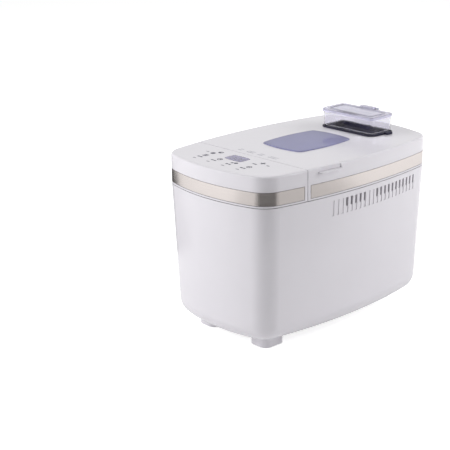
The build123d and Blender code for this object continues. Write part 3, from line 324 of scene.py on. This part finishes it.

# Display cell: the pale lavender glass of a liquid crystal display, with a faint pattern of cells 0.7 mm
# long, each half a unit of the pattern. A dim warm glow in it is painted light, in place of the lamp light
# that the lens over it keeps out, and it shows the segments.
cell, tree, finish, place = surface("liquid_crystal_glass", Roughness=0.25, IOR=1.52,
                                    Emission_Color=linear("#FFF2DA"), Emission_Strength=0.155)
add(tree, "TexBrick", {"Vector": place, "Scale": per_metre(0.7) / 2, "Color1": linear("#CECEF6"),
                       "Color2": linear("#D4D4FA"), "Mortar": linear("#C6C6F0"), "Mortar Size": 0.04},
    finish["Base Color"])
dress(cell, "display_module")
# Clear acrylic: polished, lightly tinted, with hairline wear that dulls the gloss in places.
acrylic, tree, finish, place = surface("clear_acrylic_lens", Base_Color=linear("#D6D6F6"), IOR=1.3,
                                       Transmission_Weight=0.95)
wear = add(tree, "TexNoise", {"Vector": place, "Scale": per_metre(6), "Detail": 4.0}).outputs[0]
add(tree, "MapRange", {"Value": wear, "To Min": 0.02, "To Max": 0.1}, finish["Roughness"])
dress(acrylic, "display_lens")


# Printing: the marks of the touch keys are screen printed on the flat panel in blue-grey ink, with one
# generic sign for each key and short bars in place of words.

def ring(mesh, x, y, radius, line):
    """A flat ring, centred on x and y, in millimetres."""
    centre = Matrix.Translation((x / 1000, y / 1000, 0))
    verts = []
    for size in (radius, radius - line):
        loop = bmesh.ops.create_circle(mesh, cap_ends=False, segments=32, radius=size / 1000, matrix=centre)
        verts += loop["verts"]
    bmesh.ops.bridge_loops(mesh, edges=list({edge for vert in verts for edge in vert.link_edges}))


def disc(mesh, x, y, radius, corners=24, turn=0.0):
    """A flat disc, or a triangle with three corners, centred on x and y, in millimetres."""
    place = Matrix.Translation((x / 1000, y / 1000, 0)) @ Matrix.Rotation(turn, 4, "Z")
    bmesh.ops.create_circle(mesh, cap_ends=True, segments=corners, radius=radius / 1000, matrix=place)


# Screen-printing ink: a flat blue-grey film with a faintly uneven skin about 1 mm wide.
blue_ink = moulded("blue_grey_ink", "#25263F", "#1D1E36", (0.45, 0.6), 1.0, 0.002)
ink_film = 0.06
sign_radius, sign_line = 4.4, 1.4
panel = millimetres(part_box("control_housing"))[1].z
marks = bmesh.new()
# Programme list
list_x, list_y = -48.0, -154.4
for step in range(3):
    bar(marks, list_x, list_y + 3.0 * step, 8.0, 1.9)
# Clock
clock_x, clock_y = -15.5, -152.5
ring(marks, clock_x, clock_y, sign_radius, sign_line)
bar(marks, clock_x, clock_y + 1.1, 1.2, 3.4)
bar(marks, clock_x + 1.0, clock_y, 3.0, 1.2)
# Loaf size, as a small disc and a large one
loaf_x, loaf_y = 15.0, -152.4
disc(marks, loaf_x - 3.0, loaf_y - 1.0, 2.2)
disc(marks, loaf_x + 3.0, loaf_y + 1.0, 3.4)
# Start
start_x, start_y = 47.0, -152.4
ring(marks, start_x, start_y, sign_radius, sign_line)
disc(marks, start_x - 0.3, start_y, 2.4, corners=3, turn=-math.pi / 2)
# Crust shade, as a half-filled ring and a full disc
crust_x, crust_y = -43.0, -125.5
ring(marks, crust_x, crust_y, 4.2, sign_line)
bar(marks, crust_x, crust_y - 1.1, 4.6, 2.6)
disc(marks, crust_x - 6.0, crust_y - 10.5, 4.0)
# More and less
more_x, more_y = 47.0, -125.0
arm_length = 8.6
bar(marks, more_x, more_y, arm_length, 2.2)
bar(marks, more_x, more_y, 2.2, arm_length)
bar(marks, more_x - 6.6, more_y - 10.5, arm_length, 2.6)
# Bars under and beside the signs
label_row, lower_row = -162.2, -172.2
key_columns = (-48.5, -18.5, 13.0, 44.0)
for x in key_columns:
    bar(marks, x - 2.8, label_row, 4.6, 3.2)
    bar(marks, x + 3.0, label_row, 4.0, 3.2)
    bar(marks, x - 1.0, lower_row, 6.0, 1.6)
bar(marks, crust_x - 19.5, crust_y - 9.3, 5.6, 1.7)
bar(marks, more_x + 14.8, more_y - 4.5, 5.6, 2.2)
film(marks, panel, panel + ink_film)
piece("panel_marks", marks, blue_ink, "housing")

# Display segments: the dark parts of the liquid crystal, which show a time of three hours and
# twenty minutes. The letters of the segments run clockwise from the top, with g in the middle.
# Darkened liquid crystal: slate grey with a slight cloud.
segment_grey = moulded("darkened_liquid_crystal", "#5C5D70", "#505164", (0.3, 0.4), 2.0, 0.001)
segment_film = 0.05
half_width, half_height = 2.8, 5.0
level_length, upright_length, stroke = 4.6, 4.0, 1.1
colon_x, dot_radius = -4.2, 0.8
levels = {"a": half_height, "g": 0.0, "d": -half_height}
uprights = {"b": (half_width, half_height / 2), "c": (half_width, -half_height / 2),
            "e": (-half_width, -half_height / 2), "f": (-half_width, half_height / 2)}
low, high = millimetres(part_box("display_module"))
middle = (low.y + high.y) / 2
digits = bmesh.new()
for lit, x in (("abgcd", -9.5), ("abged", 1.5), ("abcdef", 9.5)):
    for segment in lit:
        if segment in levels:
            bar(digits, x, middle + levels[segment], level_length, stroke)
        else:
            side, rise = uprights[segment]
            bar(digits, x + side, middle + rise, stroke, upright_length)
for rise in (-2.0, 2.0):
    disc(digits, colon_x, middle + rise, dot_radius)
film(digits, high.z, high.z + segment_film)
piece("display_digits", digits, segment_grey, "housing")


# Bread pan: a deep-drawn aluminium tin with a baked non-stick coat, a cast ring and ears riveted on, and
# a wire bail. A shaft in a bronze bush carries the paddle inside it.

# Baked non-stick coat: charcoal, eggshell gloss, with pale mica specks about 2 mm apart.
nonstick, tree, finish, place = surface("speckled_nonstick_coat", IOR=1.4)
specks = add(tree, "TexVoronoi", {"Vector": place, "Scale": per_metre(2)}).outputs["Distance"]
fleck = add(tree, "MapRange", {"Value": specks, "From Min": 0.1, "From Max": 0.22, "To Min": 1.0,
                               "To Max": 0.0}).outputs[0]
add(tree, "Mix", {"Factor": fleck, "A": linear("#38383B"), "B": linear("#66666A")}, finish["Base Color"],
    data_type="RGBA")
coat = add(tree, "TexNoise", {"Vector": place, "Scale": per_metre(15), "Detail": 2.0}).outputs[0]
add(tree, "MapRange", {"Value": coat, "To Min": 0.3, "To Max": 0.42}, finish["Roughness"])
dress(nonstick, "bread_pan", "kneading_paddle")
dress(cast_aluminium, "pan_base_ring", "pan_ears", "pan_coupler")
dress(bronze, "pan_bush")
dress(turned_steel, "pan_shaft", "pan_bail")


# Lid: a white moulded cover with the same steel strip, lined with pressed sheet and sealed by a rubber
# gasket. A tinted glass pane and a second pane in the liner let the loaf be seen.
dress(white_abs, "lid_cover")
# Pale grey ink: four faint legends of short bars on the lid, just behind its front edge.
pale_ink = moulded("pale_grey_ink", "#8C8D9A", "#82838F", (0.4, 0.55), 1.0, 0.002)
front_row, rear_row = -94.6, -89.4
lid_top = millimetres(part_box("lid_cover"))[1].z
legends = bmesh.new()
for start, count in ((-38.5, 2), (-20.0, 4), (3.5, 3), (25.5, 5)):
    for step in range(count):
        bar(legends, start + 1.6 + 3.6 * step, front_row, 3.0, 1.6)
        bar(legends, start + 2.4 + 3.4 * step, rear_row, 2.6, 1.4)
film(legends, lid_top, lid_top + ink_film)
piece("lid_legends", legends, pale_ink, "lid")
# Silicone rubber: pale grey and soft, made for the heat.
dress(moulded("grey_silicone_rubber", "#B9B8BC", "#AFAEB3", (0.5, 0.65), 0.8, 0.02, ior=1.43), "lid_gasket")
# Tinted float glass: lavender grey, see-through in part, with a mirror gloss and smears about 40 mm wide.
tinted, tree, finish, place = surface("lavender_float_glass", IOR=1.15, Transmission_Weight=0.4)
smear = add(tree, "TexNoise", {"Vector": place, "Scale": per_metre(40), "Detail": 3.0}).outputs[0]
add(tree, "Mix", {"Factor": smear, "A": linear("#ABABD2"), "B": linear("#B3B3D8")}, finish["Base Color"],
    data_type="RGBA")
add(tree, "MapRange", {"Value": smear, "To Min": 0.02, "To Max": 0.08}, finish["Roughness"])
dress(tinted, "lid_window", "lid_inner_glass")


# Dispenser: a dark tray let into the rear of the lid, with a trap door that a solenoid works, under
# a clear hopper that lifts off and has a hinged cover.

# Charcoal ABS: blue-black, satin, with a grain about 1.0 mm wide.
charcoal_abs = moulded("satin_charcoal_abs", "#363546", "#2E2D3E", (0.5, 0.62), 1.0, 0.01, ior=1.22)
dress(charcoal_abs, "dispenser_tray", "dispenser_flap")
dress(black_nylon, "flap_solenoid")
dress(turned_steel, "solenoid_plunger")
# Clear styrene: water-clear with a faint lavender cast and moulded flow lines about 25 mm wide.
styrene, tree, finish, place = surface("clear_styrene", Base_Color=linear("#F9F8FE"), IOR=1.33,
                                       Transmission_Weight=1.0)
flow = add(tree, "TexNoise", {"Vector": place, "Scale": per_metre(25), "Detail": 2.0}).outputs[0]
add(tree, "MapRange", {"Value": flow, "To Min": 0.03, "To Max": 0.09}, finish["Roughness"])
dress(styrene, "dispenser_box")

# Frosted styrene: the same plastic with a lavender cast and a texture about 4 mm wide that blurs what
# lies under it.
frosted, tree, finish, place = surface("frosted_styrene", Base_Color=linear("#EFEDFC"), IOR=1.4,
                                       Transmission_Weight=0.7)
ripple = add(tree, "TexNoise", {"Vector": place, "Scale": per_metre(4), "Detail": 2.0}).outputs[0]
add(tree, "MapRange", {"Value": ripple, "To Min": 0.12, "To Max": 0.25}, finish["Roughness"])
add(tree, "Bump", {"Height": ripple, "Strength": 0.6, "Distance": 0.3 / 1000}, finish["Normal"])
dress(frosted, "dispenser_lid")

# The cover is moulded with a raised frame and a row of finger ribs at its front edge. The hinge's knuckle
# stands above its plate and behind it.
knuckle_rise = 2.5
plate_depth = 53.5
relief_height = 0.8
frame_width, frame_depth = 92.0, 38.0
frame_corner, frame_line = 7.0, 2.0
rib_width, rib_length = 2.4, 6.0
rib_pitch, rib_row = 5.0, 5.2
low, high = millimetres(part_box("dispenser_lid"))
plate_top = high.z - knuckle_rise
relief = bmesh.new()
bar(relief, 0.0, low.y + plate_depth / 2, frame_width, frame_depth)
bmesh.ops.bevel(relief, geom=relief.verts[:], offset=frame_corner / 1000, affect="VERTICES", segments=6,
                profile=0.5, material=-1)
rim = bmesh.ops.inset_region(relief, faces=relief.faces[:], thickness=frame_line / 1000,
                             use_boundary=True)["faces"]
bmesh.ops.delete(relief, geom=[face for face in relief.faces if face not in rim], context="FACES_ONLY")
for step in range(-4, 5):
    bar(relief, step * rib_pitch, low.y + rib_row, rib_width, rib_length)
film(relief, plate_top, plate_top + relief_height)
piece("cover_relief", relief, frosted, "dispenser_cover")


# Studio: a white floor that runs out of the picture, a pale world and three soft lamps. Four cards that
# only reflections see lie just over the floor: dark ones by the camera and at the far left shade both ends
# of the steel strip's front, and pale ones before it and beside it light its front and its side.

def neutral(share):
    """A neutral grey that returns this share of the light, as the values that a shader reads."""
    return (share, share, share, 1.0)


def any_ray(tree, *kinds):
    """One for a ray of any of these kinds, and zero for the others."""
    path = add(tree, "LightPath")
    found = path.outputs[kinds[0]]
    for kind in kinds[1:]:
        found = add(tree, "Math", {0: found, 1: path.outputs[kind]}, operation="MAXIMUM").outputs[0]
    return found


def stage_sheet(name, width, depth, centre, turn, material):
    """A flat sheet of the studio, with its sides and centre in metres and its turn in degrees."""
    place = Matrix.Translation(centre) @ Matrix.Rotation(math.radians(turn), 4, "Z")
    mesh = bmesh.new()
    bmesh.ops.create_grid(mesh, x_segments=1, y_segments=1, size=0.5,
                          matrix=place @ Matrix.Diagonal((width, depth, 1, 1)))
    finished(name, mesh, material)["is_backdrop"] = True


# Matt floor paint: white, and a little brighter where it is seen or mirrored, so that it meets the white
# behind it.
seen_lift, mirrored_lift = 0.74, 0.35
floor_paint, tree, finish = surface("white_studio_floor", Base_Color=neutral(0.85), Roughness=0.9,
                                    Specular_IOR_Level=0.0, Emission_Color=neutral(1.0))[:3]
seen = any_ray(tree, "Is Camera Ray")
mirrored = any_ray(tree, "Is Glossy Ray", "Is Transmission Ray")
lifted = add(tree, "Math", {0: seen, 1: seen_lift}, operation="MULTIPLY").outputs[0]
add(tree, "Math", {0: mirrored, 1: mirrored_lift, 2: lifted}, finish["Emission Strength"],
    operation="MULTIPLY_ADD")
stage_sheet("studio_floor", 14.0, 14.0, (0.0, 0.0, 0.0), 0.0, floor_paint)


def card(name, share, width, depth, x, y, turn):
    """A card that only reflections see, just over the floor, whose grey returns this share of the light."""
    clearance = 0.002
    paint, tree = surface(name + "_paint", Base_Color=neutral(share), Roughness=1.0)[:2]
    air = add(tree, "BsdfTransparent").outputs[0]
    paper = tree.nodes["Principled BSDF"].outputs[0]
    add(tree, "MixShader", {0: any_ray(tree, "Is Glossy Ray"), 1: air, 2: paper},
        tree.nodes["Material Output"].inputs["Surface"])
    stage_sheet(name, width, depth, (x, y, clearance), turn, paint)


card("camera_card", 0.12, 1.3, 0.7, 0.75, -0.6, 51.0)
card("front_card", 0.88, 0.6, 0.5, 0.03, -0.93, 0.0)
card("side_card", 0.78, 0.8, 0.6, 0.85, 0.25, 0.0)
card("rear_card", 0.09, 0.7, 0.92, -0.75, 0.09, 0.0)

# Pale world: dim as a light, and white where it is seen, mirrored or looked at through glass.
dim, white = 0.22, 1.0
world = bpy.data.worlds.new("studio_world")
bpy.context.scene.world = world
world.use_nodes = True
tree = world.node_tree
sky = tree.nodes["Background"].inputs
sky["Color"].default_value = neutral(1.0)
seen = any_ray(tree, "Is Camera Ray", "Is Glossy Ray", "Is Transmission Ray")
add(tree, "MapRange", {"Value": seen, "To Min": dim, "To Max": white}, sky["Strength"])


def soft_lamp(name, place, aim, size, power):
    """A square area lamp at place, turned to aim, with its side in metres and its power in watts."""
    lamp = bpy.data.objects.new(name, bpy.data.lights.new(name, "AREA"))
    lamp.data.size = size
    lamp.data.energy = power
    lamp.location = place
    lamp.rotation_euler = (Vector(place) - Vector(aim)).to_track_quat("Z", "Y").to_euler()
    lamp.visible_glossy = False
    bpy.context.scene.collection.objects.link(lamp)


soft_lamp("overhead_lamp", (0.0, 0.1, 1.9), (0.0, 0.0, 0.26), 2.0, 4.7)
soft_lamp("front_lamp", (-1.3, -2.0, 1.2), (0.0, -0.19, 0.15), 2.2, 50.0)
soft_lamp("side_lamp", (1.6, 2.1, 1.2), (0.12, 0.05, 0.15), 2.2, 57.0)

# Camera: at the photograph's viewing angle, round from the control end and above the floor.
camera = bpy.data.objects.new("camera", bpy.data.cameras.new("camera"))
camera.data.sensor_width = 36.0
camera.data.lens = 99.13
camera.data.shift_x = -0.168
around, above = math.radians(44.53), math.radians(17.95)
aim = Vector((0.0, 0.0, 0.14216))
distance = 1.94546
toward = Vector((math.sin(around) * math.cos(above), -math.cos(around) * math.cos(above), math.sin(above)))
camera.location = aim + toward * distance
camera.rotation_euler = toward.to_track_quat("Z", "Y").to_euler()
bpy.context.scene.collection.objects.link(camera)
bpy.context.scene.camera = camera
bpy.context.scene.view_settings.view_transform = "Standard"

low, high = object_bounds()
